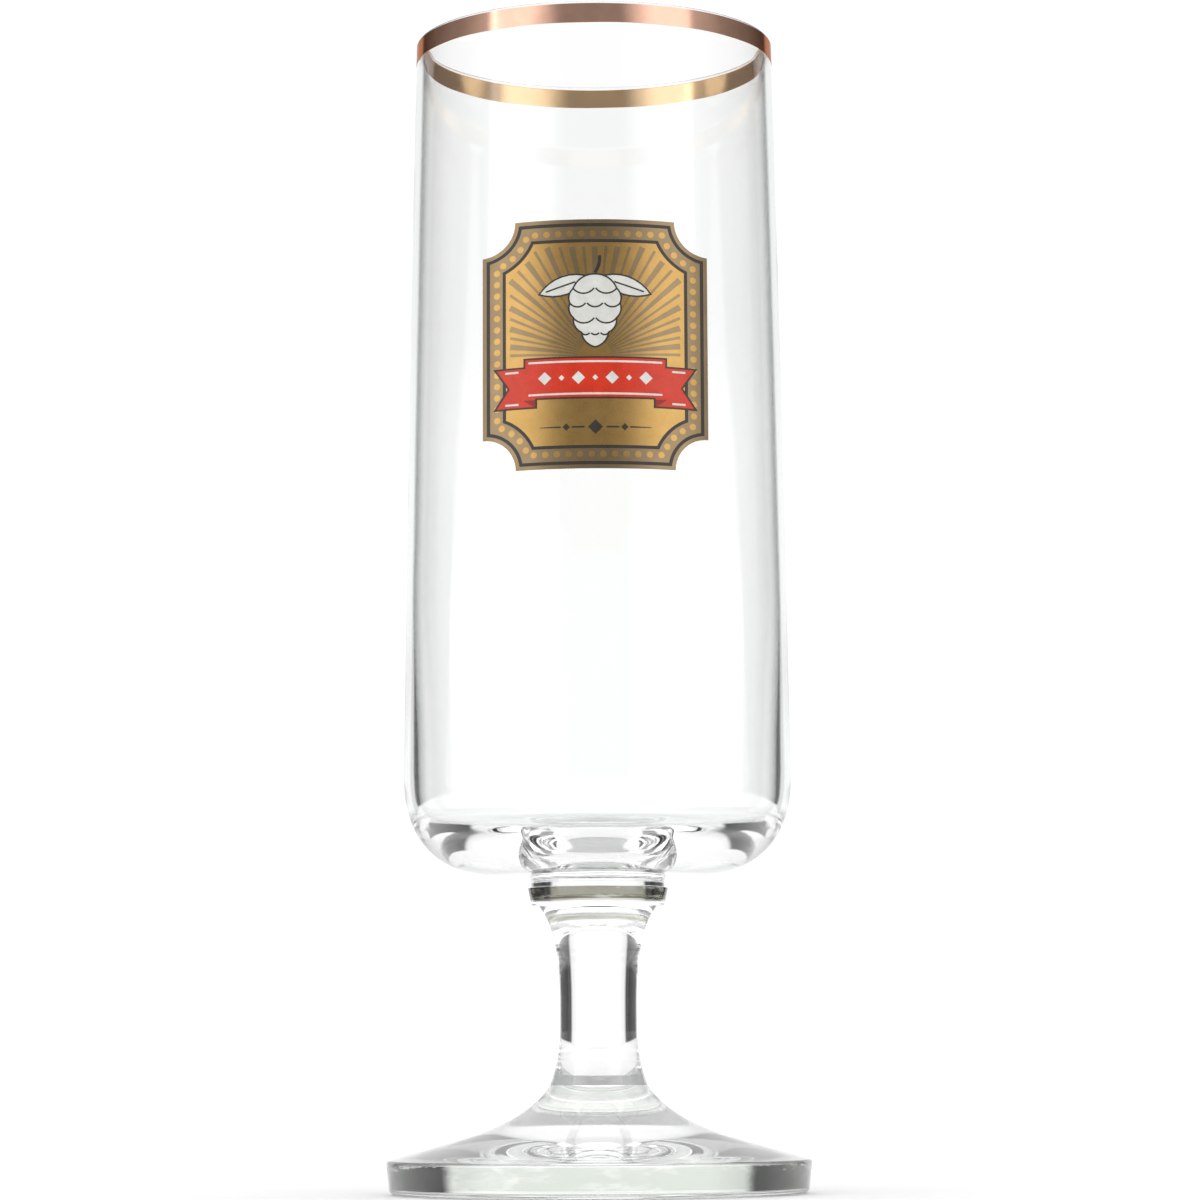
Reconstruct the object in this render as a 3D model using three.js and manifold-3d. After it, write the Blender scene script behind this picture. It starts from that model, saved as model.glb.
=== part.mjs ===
// A footed beer glass: a blown bowl on a pressed collar, stem and foot, with a gold band fired round
// the lip and a badge of coloured films fired on the front. Millimetres, +Z up. The origin is the
// centre of the foot's resting ring, and the badge faces -Y.

import * as THREE from "three";
import { mergeVertices } from "three/addons/utils/BufferGeometryUtils.js";
import Module from "manifold-3d";

// Foot: an upright rim, a flare up to the seam under the stem and a shallow hollow underneath
const FOOT_RADIUS = 32.7;
const FOOT_HEIGHT = 16.5;
const FOOT_RIM_HEIGHT = 5.2;
const FOOT_RIM_DRAFT = 0.4;
const FOOT_TOP_ROUND = 0.6;
const FOOT_BASE_ROUND = 1.2;
const FOOT_RING_WIDTH = 7;
const FOOT_HOLLOW_DEPTH = 1.6;
const FLARE_RIM_ANGLE = THREE.MathUtils.degToRad(16.5);
const FLARE_RIM_PULL = 12.3;
const FLARE_SEAM_ANGLE = THREE.MathUtils.degToRad(56);
const FLARE_SEAM_PULL = 7.6;

// Stem: solid, with a straight waist between two flares
const STEM_SEAM_RADIUS = 7.5;
const STEM_WAIST_RADIUS = 5.95;
const STEM_HEAD_RADIUS = 9.1;
const STEM_WAIST_LENGTH = 3.5;
const STEM_LOWER_FLARE = 9;
const STEM_LOWER_BEND = 4.3;
const STEM_UPPER_FLARE = 14.9;
const STEM_UPPER_BEND = 3.75;

// Collar: a flat disc, rounded underneath, that stands proud of the stem's head
const COLLAR_HEIGHT = 2.9;
const COLLAR_LEDGE = 0.45;
const COLLAR_ROUND = 0.9;
const COLLAR_DRAFT = 0.4;

// Bowl: a boss on the collar, a rounded base corner and a wall that tapers to a rounded lip
const BOSS_STEP = 0.5;
const BOSS_HEIGHT = 1.8;
const BOSS_FILLET = 0.5;
const BASE_FLAT = 3.2;
const BOWL_HEIGHT = 131.4;
const BELLY_RADIUS = 30.05;
const RIM_RADIUS = 28;
const WALL_BULGE = 0.16;
const CORNER_HEIGHT = 15.9;
const CORNER_POWER = 2.42;
const LIP_WALL = 1.05;
const BELLY_WALL = 2.2;
const WALL_SWELL = 31;
const BASE_THICKNESS = 4.4;
const INSIDE_FLAT = 8;
const INSIDE_RISE = 1;
const INSIDE_POWER = 3.6;

// Gold band round the lip, below a bare edge
const BAND_HEIGHT = 2.95;
const BAND_BARE_EDGE = 0.45;

// Badge: a plaque with scooped corners that holds a bright field, a ribbon and a hop cone
const BADGE_BELOW_LIP = 53;
const BADGE_HALF_WIDTH = 17;
const BADGE_HALF_HEIGHT = 19;
const BADGE_SCOOP = 5;
const BADGE_BORDER = 3.3;
const LINE_INSET = 0.6;
const LINE_WIDTH = 0.5;
const RIBBON_END_INSET = 1.6;
const RIBBON_HALF_HEIGHT = 3.2;
const RIBBON_DROP = 5.2;
const RIBBON_TAIL = 4.6;
const RIBBON_TAIL_DROP = 1.3;
const RIBBON_FOLD = 2;
const RIBBON_NOTCH = 2.2;
const HOP_HALF_WIDTH = 3.9;
const HOP_HEIGHT = 11.4;
const HOP_ABOVE_RIBBON = 1.3;
const HOP_SCALES = 5;
const HOP_SCALE_SWELL = 0.32;
const HOP_TAPER = 1.45;
const LEAF_REACH = 8.6;
const LEAF_DROP = 2.6;
const LEAF_ROOT = 0.5;
const LEAF_SWELL = 0.36;

// Fired films, and the air left between a film and what it lies on
const FILM_THICKNESS = 0.08;
const FILM_GAP = 0.06;

// How finely the curves are cut
const WIDE_SEGMENTS = 64;
const SLIM_SEGMENTS = 48;
const CURVE_STEPS = 8;
const ROUND_STEPS = 3;
const CORNER_STEPS = 9;
const SWELL_STEPS = 4;
const WALL_STEPS = 5;
const FILM_STEPS = 3;
const SCOOP_STEPS = 6;
const MERGE_TOLERANCE = 1e-4;

// Radii that follow from the stem's head upwards
const COLLAR_SIDE_BASE = STEM_HEAD_RADIUS + COLLAR_LEDGE + COLLAR_ROUND;
const COLLAR_RADIUS = COLLAR_SIDE_BASE + COLLAR_DRAFT;
const BOSS_RADIUS = COLLAR_RADIUS - BOSS_STEP;
const BOWL_BASE_RADIUS = BOSS_RADIUS + BOSS_FILLET + BASE_FLAT;

// Heights of the seams, from the table upwards
const STEM_BASE = FOOT_HEIGHT;
const WAIST_BASE = STEM_BASE + STEM_LOWER_FLARE;
const WAIST_TOP = WAIST_BASE + STEM_WAIST_LENGTH;
const COLLAR_BASE = WAIST_TOP + STEM_UPPER_FLARE;
const BOSS_BASE = COLLAR_BASE + COLLAR_HEIGHT;
const BOWL_BASE = BOSS_BASE + BOSS_HEIGHT;
const LIP_TOP = BOWL_BASE + BOWL_HEIGHT;
const BELLY_LEVEL = BOWL_BASE + CORNER_HEIGHT;
const SWELL_TOP = BELLY_LEVEL + WALL_SWELL;
const INSIDE_BELLY = BELLY_LEVEL + INSIDE_RISE;
const INSIDE_FLOOR = BOWL_BASE + BASE_THICKNESS;
const BADGE_LEVEL = LIP_TOP - BADGE_BELOW_LIP;

const CLEAR_GLASS = { color: 0xf4f8f5, roughness: 0.03, metalness: 0 };
const LIP_GOLD = { color: 0xb98a5c, roughness: 0.22, metalness: 1 };
const BRONZE_LUSTRE = { color: 0x8f7a58, roughness: 0.38, metalness: 0.9 };
const BRIGHT_GOLD = { color: 0xc79a4b, roughness: 0.3, metalness: 0.9 };
const DARK_ENAMEL = { color: 0x35302b, roughness: 0.4, metalness: 0 };
const RED_ENAMEL = { color: 0xd93418, roughness: 0.35, metalness: 0 };
const WHITE_ENAMEL = { color: 0xe4e4e0, roughness: 0.4, metalness: 0 };

const wasm = await Module();
wasm.setup();

const glass = new THREE.Group();

function addPiece(name, geometry, finish) {
  const piece = new THREE.Mesh(geometry, new THREE.MeshStandardMaterial(finish));
  piece.name = name;
  glass.add(piece);
}

// A closed piece of revolution about Z from a profile of radius and height.
function turned(profile, segments) {
  return new THREE.LatheGeometry(profile, segments).rotateX(Math.PI / 2);
}

// Levels above base, in even steps up to top.
function levels(base, top, steps) {
  return Array.from({ length: steps }, (_, i) => THREE.MathUtils.lerp(base, top, (i + 1) / steps));
}

// The bowl's outer radius above the belly: a straight taper with a slight bulge.
function wallRadius(height) {
  const share = (height - BELLY_LEVEL) / (LIP_TOP - BELLY_LEVEL);
  const taper = THREE.MathUtils.lerp(BELLY_RADIUS, RIM_RADIUS, share);
  return taper + 4 * WALL_BULGE * share * (1 - share);
}

// The bowl's inner radius above the belly. The wall is thick at the belly and even above the swell.
function insideRadius(height) {
  const thinned = THREE.MathUtils.smoothstep(height, BELLY_LEVEL, SWELL_TOP);
  return wallRadius(height) - THREE.MathUtils.lerp(BELLY_WALL, LIP_WALL, thinned);
}

// A quarter of a superellipse, from its lowest point out and up to its top level.
function roundedCorner(centreRadius, reach, topLevel, drop, power) {
  const points = [];
  for (let i = 0; i <= CORNER_STEPS; i++) {
    const angle = (Math.PI / 2) * (i / CORNER_STEPS);
    const radius = centreRadius + reach * Math.sin(angle) ** (2 / power);
    const level = topLevel - drop * Math.cos(angle) ** (2 / power);
    points.push(new THREE.Vector2(radius, level));
  }
  return points;
}

function makeFoot() {
  const ringOuter = FOOT_RADIUS - FOOT_RIM_DRAFT - FOOT_BASE_ROUND;
  const ringInner = ringOuter - FOOT_RING_WIDTH;
  const rimBase = FOOT_RADIUS - FOOT_RIM_DRAFT;
  const flareStart = new THREE.Vector2(FOOT_RADIUS - FOOT_TOP_ROUND, FOOT_RIM_HEIGHT);

  const hollow = new THREE.QuadraticBezierCurve(
    new THREE.Vector2(0, FOOT_HOLLOW_DEPTH),
    new THREE.Vector2(ringInner / 2, FOOT_HOLLOW_DEPTH),
    new THREE.Vector2(ringInner, 0),
  );
  const baseRound = new THREE.QuadraticBezierCurve(
    new THREE.Vector2(ringOuter, 0),
    new THREE.Vector2(rimBase, 0),
    new THREE.Vector2(rimBase, FOOT_BASE_ROUND),
  );
  const topRound = new THREE.QuadraticBezierCurve(
    new THREE.Vector2(FOOT_RADIUS, FOOT_RIM_HEIGHT - FOOT_TOP_ROUND),
    new THREE.Vector2(FOOT_RADIUS, FOOT_RIM_HEIGHT),
    flareStart,
  );
  const flare = new THREE.CubicBezierCurve(
    flareStart,
    new THREE.Vector2(
      flareStart.x - FLARE_RIM_PULL * Math.cos(FLARE_RIM_ANGLE),
      flareStart.y + FLARE_RIM_PULL * Math.sin(FLARE_RIM_ANGLE),
    ),
    new THREE.Vector2(
      STEM_SEAM_RADIUS + FLARE_SEAM_PULL * Math.cos(FLARE_SEAM_ANGLE),
      FOOT_HEIGHT - FLARE_SEAM_PULL * Math.sin(FLARE_SEAM_ANGLE),
    ),
    new THREE.Vector2(STEM_SEAM_RADIUS, FOOT_HEIGHT),
  );
  const profile = [
    ...hollow.getPoints(ROUND_STEPS),
    ...baseRound.getPoints(ROUND_STEPS),
    ...topRound.getPoints(ROUND_STEPS),
    ...flare.getPoints(CURVE_STEPS).slice(1),
    new THREE.Vector2(0, FOOT_HEIGHT),
  ];
  addPiece("foot", turned(profile, WIDE_SEGMENTS), CLEAR_GLASS);
}

function makeStem() {
  const lowerFlare = new THREE.QuadraticBezierCurve(
    new THREE.Vector2(STEM_SEAM_RADIUS, STEM_BASE),
    new THREE.Vector2(STEM_WAIST_RADIUS, STEM_BASE + STEM_LOWER_BEND),
    new THREE.Vector2(STEM_WAIST_RADIUS, WAIST_BASE),
  );
  const upperFlare = new THREE.QuadraticBezierCurve(
    new THREE.Vector2(STEM_WAIST_RADIUS, WAIST_TOP),
    new THREE.Vector2(STEM_WAIST_RADIUS, COLLAR_BASE - STEM_UPPER_BEND),
    new THREE.Vector2(STEM_HEAD_RADIUS, COLLAR_BASE),
  );
  const profile = [
    new THREE.Vector2(0, STEM_BASE),
    ...lowerFlare.getPoints(CURVE_STEPS),
    ...upperFlare.getPoints(CURVE_STEPS),
    new THREE.Vector2(0, COLLAR_BASE),
  ];
  addPiece("stem", turned(profile, SLIM_SEGMENTS), CLEAR_GLASS);
}

function makeCollar() {
  const underRound = new THREE.QuadraticBezierCurve(
    new THREE.Vector2(COLLAR_SIDE_BASE - COLLAR_ROUND, COLLAR_BASE),
    new THREE.Vector2(COLLAR_SIDE_BASE, COLLAR_BASE),
    new THREE.Vector2(COLLAR_SIDE_BASE, COLLAR_BASE + COLLAR_ROUND),
  );
  const profile = [
    new THREE.Vector2(0, COLLAR_BASE),
    ...underRound.getPoints(ROUND_STEPS),
    new THREE.Vector2(COLLAR_RADIUS, BOSS_BASE),
    new THREE.Vector2(0, BOSS_BASE),
  ];
  addPiece("collar", turned(profile, SLIM_SEGMENTS), CLEAR_GLASS);
}

function makeBowl() {
  const bossFillet = new THREE.QuadraticBezierCurve(
    new THREE.Vector2(BOSS_RADIUS, BOWL_BASE - BOSS_FILLET),
    new THREE.Vector2(BOSS_RADIUS, BOWL_BASE),
    new THREE.Vector2(BOSS_RADIUS + BOSS_FILLET, BOWL_BASE),
  );
  const outerCorner = roundedCorner(
    BOWL_BASE_RADIUS,
    BELLY_RADIUS - BOWL_BASE_RADIUS,
    BELLY_LEVEL,
    CORNER_HEIGHT,
    CORNER_POWER,
  );
  const insideCorner = roundedCorner(
    INSIDE_FLAT,
    insideRadius(INSIDE_BELLY) - INSIDE_FLAT,
    INSIDE_BELLY,
    INSIDE_BELLY - INSIDE_FLOOR,
    INSIDE_POWER,
  );
  const lipRound = LIP_WALL / 2;
  const lipLevel = LIP_TOP - lipRound;
  const lipMiddle = wallRadius(lipLevel) - lipRound;
  const outerLevels = levels(BELLY_LEVEL, lipLevel, WALL_STEPS);
  const innerLevels = [
    ...levels(INSIDE_BELLY, SWELL_TOP, SWELL_STEPS),
    ...levels(SWELL_TOP, lipLevel, WALL_STEPS),
  ];
  const lipCap = new THREE.EllipseCurve(lipMiddle, lipLevel, lipRound, lipRound, 0, Math.PI);
  const profile = [
    new THREE.Vector2(0, BOSS_BASE),
    new THREE.Vector2(BOSS_RADIUS, BOSS_BASE),
    ...bossFillet.getPoints(ROUND_STEPS),
    ...outerCorner,
    ...outerLevels.map((level) => new THREE.Vector2(wallRadius(level), level)),
    ...lipCap.getPoints(2 * ROUND_STEPS).slice(1, -1),
    ...innerLevels.reverse().map((level) => new THREE.Vector2(insideRadius(level), level)),
    ...insideCorner.reverse(),
    new THREE.Vector2(0, INSIDE_FLOOR),
  ];
  addPiece("bowl", turned(profile, WIDE_SEGMENTS), CLEAR_GLASS);
}

// A closed geometry as a solid that can be cut.
function solidOf(geometry) {
  geometry.deleteAttribute("normal");
  geometry.deleteAttribute("uv");
  const merged = mergeVertices(geometry, MERGE_TOLERANCE);
  return new wasm.Manifold(
    new wasm.Mesh({
      numProp: 3,
      vertProperties: merged.getAttribute("position").array,
      triVerts: new Uint32Array(merged.getIndex().array),
    }),
  );
}

// A thin ring that follows the bowl's wall between two heights, lifted off the glass.
function wallRing(base, top, lift) {
  const inside = [];
  const outside = [];
  for (let i = 0; i <= FILM_STEPS; i++) {
    const level = THREE.MathUtils.lerp(base, top, i / FILM_STEPS);
    inside.push(new THREE.Vector2(wallRadius(level) + lift, level));
    outside.push(new THREE.Vector2(wallRadius(level) + lift + FILM_THICKNESS, level));
  }
  return turned([...outside, ...inside.reverse(), outside[0]], WIDE_SEGMENTS);
}

function makeLipBand() {
  const bandTop = LIP_TOP - BAND_BARE_EDGE;
  const band = wallRing(bandTop - BAND_HEIGHT, bandTop, FILM_GAP);
  addPiece("lip_gold_band", band, LIP_GOLD);
}

// A film on the bowl's front, cut to outlines that are drawn as they are seen from the front.
// Layer 0 lies on the glass, and each further layer on the one before it.
function film(outlines, layer) {
  const ring = wallRing(
    BADGE_LEVEL - BADGE_HALF_HEIGHT - FILM_GAP,
    BADGE_LEVEL + BADGE_HALF_HEIGHT + FILM_GAP,
    FILM_GAP + layer * (FILM_GAP + FILM_THICKNESS),
  );
  const cutters = outlines.map((outline) => {
    const cutter = new THREE.ExtrudeGeometry(outline, {
      depth: 2 * BELLY_RADIUS,
      bevelEnabled: false,
      curveSegments: SCOOP_STEPS,
    });
    return solidOf(cutter.rotateX(Math.PI / 2).translate(0, 0, BADGE_LEVEL));
  });
  const joined = cutters.reduce((cutter, next) => cutter.add(next));
  const cut = solidOf(ring).intersect(joined).getMesh();
  return new THREE.BufferGeometry()
    .setAttribute("position", new THREE.BufferAttribute(cut.vertProperties, 3))
    .setIndex(new THREE.BufferAttribute(cut.triVerts, 1));
}

// The plaque's outline, moved in from its edge by inset. The scoops keep their centres.
function plaque(path, inset) {
  const scoop = BADGE_SCOOP + inset;
  const skew = Math.asin(inset / scoop);
  const corners = [
    [BADGE_HALF_WIDTH, BADGE_HALF_HEIGHT],
    [-BADGE_HALF_WIDTH, BADGE_HALF_HEIGHT],
    [-BADGE_HALF_WIDTH, -BADGE_HALF_HEIGHT],
    [BADGE_HALF_WIDTH, -BADGE_HALF_HEIGHT],
  ];
  corners.forEach(([x, y], quarter) => {
    const start = Math.PI * (1.5 + quarter / 2) - skew;
    const end = Math.PI * (1 + quarter / 2) + skew;
    path.absarc(x, y, scoop, start, end, true);
  });
  path.closePath();
  return path;
}

// A ribbon: a front band and two notched tails that fold behind it and hang a little lower.
function ribbon() {
  const end = BADGE_HALF_WIDTH - RIBBON_END_INSET;
  const bandEnd = end - RIBBON_TAIL;
  const foldEnd = bandEnd - RIBBON_FOLD;
  const top = RIBBON_HALF_HEIGHT - RIBBON_DROP;
  const bottom = -RIBBON_HALF_HEIGHT - RIBBON_DROP;
  const right = [
    new THREE.Vector2(foldEnd, bottom),
    new THREE.Vector2(foldEnd, bottom - RIBBON_TAIL_DROP),
    new THREE.Vector2(end, bottom - RIBBON_TAIL_DROP),
    new THREE.Vector2(end - RIBBON_NOTCH, -RIBBON_DROP - RIBBON_TAIL_DROP),
    new THREE.Vector2(end, top - RIBBON_TAIL_DROP),
    new THREE.Vector2(bandEnd, top - RIBBON_TAIL_DROP),
    new THREE.Vector2(bandEnd, top),
  ];
  const left = right.map((corner) => new THREE.Vector2(-corner.x, corner.y)).reverse();
  return new THREE.Shape([...right, ...left]);
}

// A closed outline through corners that run anticlockwise. Each side swells outwards by a share of
// its length.
function swollen(corners, swell) {
  const outline = new THREE.Shape().moveTo(corners[0].x, corners[0].y);
  corners.forEach((from, i) => {
    const to = corners[(i + 1) % corners.length];
    const along = to.clone().sub(from);
    const middle = from.clone().add(to).divideScalar(2);
    outline.quadraticCurveTo(middle.x + swell * along.y, middle.y - swell * along.x, to.x, to.y);
  });
  return outline;
}

// A hop cone with a leaf on each side of its top. Scales swell from both sides of the cone, which
// narrows to its tip.
function hop() {
  const tipLevel = RIBBON_HALF_HEIGHT - RIBBON_DROP + HOP_ABOVE_RIBBON;
  const root = new THREE.Vector2(0, tipLevel + HOP_HEIGHT - LEAF_ROOT);
  const leaves = [1, -1].map((side) => {
    const tip = new THREE.Vector2(side * LEAF_REACH, root.y - LEAF_DROP);
    return swollen([root, tip], LEAF_SWELL);
  });
  const right = levels(0, 1, HOP_SCALES).slice(0, -1).map((share) => {
    const halfWidth = HOP_HALF_WIDTH * Math.sqrt(Math.sin(Math.PI * share ** HOP_TAPER));
    return new THREE.Vector2(halfWidth, tipLevel + HOP_HEIGHT * share);
  });
  const left = right.map((corner) => new THREE.Vector2(-corner.x, corner.y)).reverse();
  const tip = new THREE.Vector2(0, tipLevel);
  const top = new THREE.Vector2(0, tipLevel + HOP_HEIGHT);
  return [swollen([tip, ...right, top, ...left], HOP_SCALE_SWELL), ...leaves];
}

function makeBadge() {
  const frameLine = plaque(new THREE.Shape(), LINE_INSET);
  frameLine.holes.push(plaque(new THREE.Path(), LINE_INSET + LINE_WIDTH));
  addPiece("badge_ground", film([plaque(new THREE.Shape(), 0)], 0), BRONZE_LUSTRE);
  addPiece("badge_frame_line", film([frameLine], 1), DARK_ENAMEL);
  addPiece("badge_field", film([plaque(new THREE.Shape(), BADGE_BORDER)], 1), BRIGHT_GOLD);
  addPiece("badge_ribbon", film([ribbon()], 2), RED_ENAMEL);
  addPiece("badge_hop", film(hop(), 2), WHITE_ENAMEL);
}

makeFoot();
makeStem();
makeCollar();
makeBowl();
makeLipBand();
makeBadge();

export default glass;
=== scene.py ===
"""A footed beer glass: clear glass members, a gold band round the lip and a fired badge on the front."""

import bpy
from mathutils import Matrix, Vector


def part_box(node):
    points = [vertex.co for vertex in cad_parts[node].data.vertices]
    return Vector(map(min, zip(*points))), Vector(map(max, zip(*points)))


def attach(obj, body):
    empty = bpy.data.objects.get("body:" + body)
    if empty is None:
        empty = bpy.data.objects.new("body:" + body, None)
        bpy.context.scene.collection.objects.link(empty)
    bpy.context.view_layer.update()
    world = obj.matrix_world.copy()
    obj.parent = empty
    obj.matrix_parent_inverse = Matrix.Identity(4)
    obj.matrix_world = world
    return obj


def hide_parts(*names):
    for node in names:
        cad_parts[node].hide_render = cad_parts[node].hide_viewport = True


bl_info = {
    "name": "Footed Beer Glass",
    "version": (1, 0, 0),
    "blender": (4, 5, 0),
    "location": "View3D > Sidebar > Footed Glass",
    "description": "Makes the clear members, the gold lip band and the fired badge of a footed beer glass",
    "category": "Add Mesh",
}

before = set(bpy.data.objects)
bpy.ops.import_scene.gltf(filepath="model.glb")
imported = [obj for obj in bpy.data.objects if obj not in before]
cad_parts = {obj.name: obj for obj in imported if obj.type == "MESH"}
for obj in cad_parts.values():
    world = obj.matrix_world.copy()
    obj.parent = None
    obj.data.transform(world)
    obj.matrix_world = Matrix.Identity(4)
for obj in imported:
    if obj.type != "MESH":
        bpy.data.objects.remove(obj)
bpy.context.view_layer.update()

from math import asin, atan, atan2, cos, degrees, pi, radians, sin, sqrt, tan, tau

import bmesh
import bpy
from bpy.props import FloatProperty, FloatVectorProperty, IntProperty, PointerProperty
from bpy.types import Operator, Panel, PropertyGroup
from mathutils import Euler, Matrix, Quaternion, Vector
from mathutils.geometry import interpolate_bezier

MM = 0.001
BODY = "root"
FRONT = Vector((0, -1, 0))
X_AXIS, Z_AXIS = 0, 2

# Levels and radii that the CAD parts give
FOOT_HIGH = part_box("foot")[1]
STEM_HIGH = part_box("stem")[1]
COLLAR_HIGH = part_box("collar")[1]
BOWL_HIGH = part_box("bowl")[1]
BAND_LOW, BAND_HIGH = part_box("lip_gold_band")
PLAQUE_LOW, PLAQUE_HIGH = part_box("badge_ground")
FOOT_RADIUS = FOOT_HIGH.x
STEM_HEAD_RADIUS = STEM_HIGH.x
COLLAR_RADIUS = COLLAR_HIGH.x
BELLY_RADIUS = BOWL_HIGH.x
STEM_BASE = FOOT_HIGH.z
COLLAR_BASE = STEM_HIGH.z
BOSS_BASE = COLLAR_HIGH.z
LIP_TOP = BOWL_HIGH.z
BADGE_LEVEL = (PLAQUE_LOW.z + PLAQUE_HIGH.z) / 2
BADGE_HALF_WIDTH = PLAQUE_HIGH.x
BADGE_HALF_HEIGHT = (PLAQUE_HIGH.z - PLAQUE_LOW.z) / 2

# How finely the shapes are cut
SPIN_STEPS = 160
CURVE_STEPS = 20
ROUND_STEPS = 8
CORNER_STEPS = 32
WALL_STEPS = 24
SCOOP_STEPS = 12
BEAD_SIDES = 12
ARC_STEPS = 8
STRIP = 0.6 * MM
ROW = 4 * MM
MERGE = 0.0001 * MM
PEN_JOIN = 0.01 * MM
SHARP = radians(40)

# Grain of the finishes: noise scale, detail and stretch along X, Y and Z
EVEN = (1, 1, 1)
AROUND = (1, 1, 12)
GLASS_CLOUD = (30, 2, EVEN)
GLASS_WAVES = (70, 1, EVEN)
PAINTED_LIGHT_STREAKS = (150, 3, (1, 1, 3))
PRESS_CLOUD = (300, 2, EVEN)
PRESS_RIPPLE = (260, 2, (1, 1, 2))
LUSTRE_MOTTLE = (350, 4, EVEN)
LUSTRE_CLOUD = (900, 3)
LUSTRE_BRUSH = (1600, 2)
ENAMEL_MOTTLE = (600, 3, EVEN)
ENAMEL_CLOUD = (400, 2, EVEN)
ENAMEL_PEEL = (1100, 1, EVEN)
FLOOR_MOTTLE = (6, 3, EVEN)

# Ranges of the finishes: used part of a noise, roughness, and shades of a mottled colour
NOISE_MIDDLE = (0.3, 0.7)
STREAK_EDGES = (0.54, 0.66)
GLASS_ROUGHNESS = (0.0, 0.012)
PRESS_ROUGHNESS = (0.02, 0.10)
OUTSIDE_ROUGHNESS = (0.09, 0.15)
INSIDE_ROUGHNESS = (0.06, 0.12)
FLOOR_ROUGHNESS = 0.9
LUSTRE_SHADES = (0.93, 1.06)
ENAMEL_SHADES = (0.9, 1.06)
FLOOR_SHADES = (0.99, 1.0)
LUSTRE_EDGE = 0.6

# Relief of the fired films
FILM_RELIEF = 0.01 * MM
BRUSH_STRENGTH = 0.25
PEEL_STRENGTH = 0.3

# Waves round the band's edge and their lead, and small steps of the badge: sizes in turn, gaps and tapers
EDGE_WAVES = ((5, 0), (13, 1))
SCALES_IN_TURN = (2, 3)
LOZENGES_IN_TURN = (0.9, 0.4)
ORNAMENT_GAP = 1.5
LINE_TAPER = 3

# Stage
FLOOR_DROP = 0.1 * MM
SENSOR_WIDTH = 36
CLIP_START = 10 * MM
GLASS_BOUNCES = 32
GLOSSY_BOUNCES = 16
BRIGHTEST = 20


def length(name, description, default):
    """A size that a user may change, given in millimetres."""
    return FloatProperty(
        name=name, description=description, default=default * MM, precision=5,
        unit="LENGTH", subtype="DISTANCE",
    )


def angle(name, description, default):
    """An angle that a user may change, given in degrees."""
    return FloatProperty(
        name=name, description=description, default=radians(default), unit="ROTATION", subtype="ANGLE",
    )


def factor(name, description, default, low=0.0, high=1.0):
    """A plain number that a user may change."""
    return FloatProperty(
        name=name, description=description, default=default, min=low, max=high, subtype="FACTOR",
    )


def brightness(name, description, default):
    """A brightness that a user may change."""
    return factor(name, description, default, high=BRIGHTEST)


def colour(name, description, default):
    """A linear colour that a user may change."""
    return FloatVectorProperty(
        name=name, description=description, default=default, min=0.0, max=1.0, size=3, subtype="COLOR",
    )


class FootShape(PropertyGroup):
    """Sizes of the pressed foot"""

    rim_height: length("Rim height", "Height of the upright rim", 5.2)
    rim_draft: length("Rim draft", "How far the rim leans in at the table", 0.4)
    top_round: length("Top round", "Round at the rim's top edge", 0.6)
    base_round: length("Base round", "Round at the rim's bottom edge", 1.2)
    ring_width: length("Ring width", "Width of the flat ring that rests on the table", 7)
    hollow_depth: length("Hollow depth", "Depth of the hollow underneath", 1.6)
    rim_slope: angle("Rim slope", "Slope of the flare where it leaves the rim", 16.5)
    rim_pull: length("Rim pull", "Reach of the flare's curve at the rim", 12.3)
    seam_slope: angle("Seam slope", "Slope of the flare where it meets the stem", 56)
    seam_pull: length("Seam pull", "Reach of the flare's curve at the stem", 7.6)


class StemShape(PropertyGroup):
    """Sizes of the solid stem"""

    seam_radius: length("Seam radius", "Radius at the seam on the foot", 7.5)
    waist_radius: length("Waist radius", "Radius of the straight waist", 5.95)
    waist_length: length("Waist length", "Length of the straight waist", 3.5)
    lower_flare: length("Lower flare", "Length of the flare below the waist", 9)
    lower_bend: length("Lower bend", "Where the lower flare turns, above the seam", 4.3)
    upper_bend: length("Upper bend", "Where the upper flare turns, below the collar", 3.75)


class CollarShape(PropertyGroup):
    """Sizes of the collar disc"""

    round: length("Round", "Round of the lower edge", 0.9)
    draft: length("Draft", "How much wider the disc is at its top", 0.4)
    top_edge: length("Top edge", "Small round of the upper edge", 0.15)


class BowlShape(PropertyGroup):
    """Sizes of the blown bowl"""

    boss_step: length("Boss step", "How far the boss stands in from the collar", 0.5)
    boss_height: length("Boss height", "Height of the boss", 1.8)
    boss_fillet: length("Boss fillet", "Fillet between the boss and the base", 0.5)
    base_flat: length("Base flat", "Width of the flat under the base", 3.2)
    corner_height: length("Corner height", "Height of the rounded base corner", 15.9)
    corner_power: factor("Corner power", "Squareness of the base corner", 2.42, 1, 6)
    rim_radius: length("Lip radius", "Outer radius at the lip", 28)
    wall_bulge: length("Wall bulge", "Swell of the wall's middle", 0.16)
    lip_wall: length("Lip wall", "Wall thickness of the upper wall and the lip", 1.05)
    belly_wall: length("Belly wall", "Wall thickness at the belly", 2.2)
    wall_swell: length("Wall swell", "Height above the belly over which the wall thickens", 31)
    inside_rise: length("Inside rise", "How far above the belly the inside's corner starts", 1)
    base_thickness: length("Base thickness", "Glass under the inside's lowest point", 4.4)
    inside_flat: length("Inside flat", "Radius of the flat inside the bottom", 8)
    inside_power: factor("Inside power", "Squareness of the inside's bottom", 3.6, 1, 6)


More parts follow.
